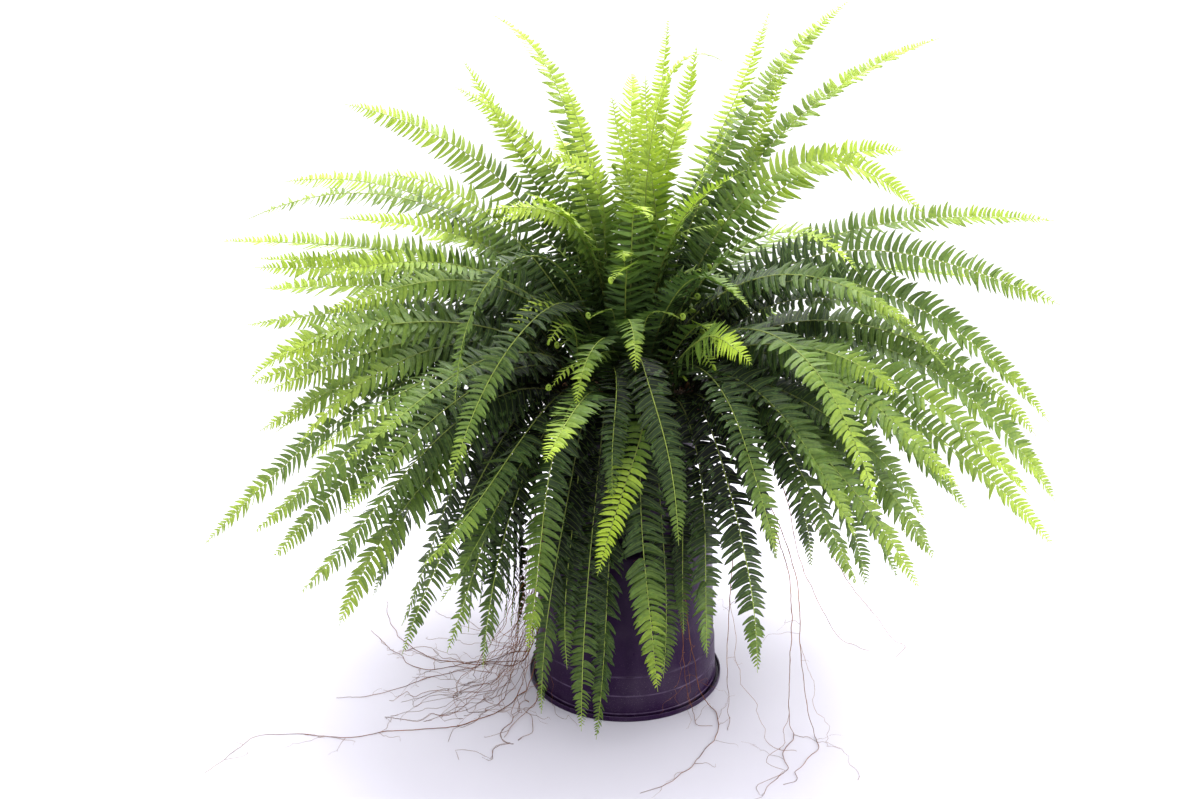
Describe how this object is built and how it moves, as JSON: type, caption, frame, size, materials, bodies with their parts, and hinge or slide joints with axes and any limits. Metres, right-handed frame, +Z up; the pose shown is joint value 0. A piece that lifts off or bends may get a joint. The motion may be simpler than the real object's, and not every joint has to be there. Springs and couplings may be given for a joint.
{
  "type": "potted fern",
  "caption": "Large sword fern with arching feathery fronds in a dark nursery pot, standing on a bigger pot turned upside down.",
  "frame": {"origin": "on the floor, under the middle of the whole plant's bounding box; the pots' own axis stands at x -3 mm, y -95 mm", "axes": "+X to the right of the plant's front, -Y to the front, +Z up"},
  "size_m": [1.2779, 0.9739, 1.014],
  "materials": {
    "container_plastic": "satin, blow-moulded",
    "potting_mix": "loose shredded bark and peat",
    "frond_green": "soft satin leaf",
    "runner_brown": "dry, matt"
  },
  "bodies": {
    "root": {"stand_pot": "container_plastic", "grow_pot": "container_plastic", "soil": "potting_mix", "frond_clump_01": "frond_green", "frond_clump_02": "frond_green", "frond_clump_03": "frond_green", "frond_clump_04": "frond_green", "frond_clump_05": "frond_green", "frond_clump_06": "frond_green", "frond_clump_07": "frond_green", "frond_clump_08": "frond_green", "frond_clump_09": "frond_green", "frond_clump_10": "frond_green", "frond_clump_11": "frond_green", "frond_clump_12": "frond_green", "frond_clump_13": "frond_green", "frond_clump_14": "frond_green", "frond_clump_15": "frond_green", "frond_clump_16": "frond_green", "frond_clump_17": "frond_green", "frond_clump_18": "frond_green", "frond_clump_19": "frond_green", "frond_clump_20": "frond_green", "frond_clump_21": "frond_green", "frond_clump_22": "frond_green", "frond_clump_23": "frond_green", "frond_clump_24": "frond_green", "frond_clump_25": "frond_green", "frond_clump_26": "frond_green", "frond_clump_27": "frond_green", "frond_clump_28": "frond_green", "frond_clump_29": "frond_green", "frond_clump_30": "frond_green", "frond_clump_31": "frond_green", "frond_clump_32": "frond_green", "frond_clump_33": "frond_green", "frond_clump_34": "frond_green", "frond_clump_35": "frond_green", "frond_clump_36": "frond_green", "frond_clump_37": "frond_green", "frond_clump_38": "frond_green", "frond_clump_39": "frond_green", "frond_clump_40": "frond_green", "frond_clump_41": "frond_green", "frond_clump_42": "frond_green", "frond_clump_43": "frond_green", "runners_left": "runner_brown", "runners_front_left": "runner_brown", "runners_front_right": "runner_brown", "runners_right": "runner_brown", "runners_far_right": "runner_brown"}
  },
  "joints": []
}
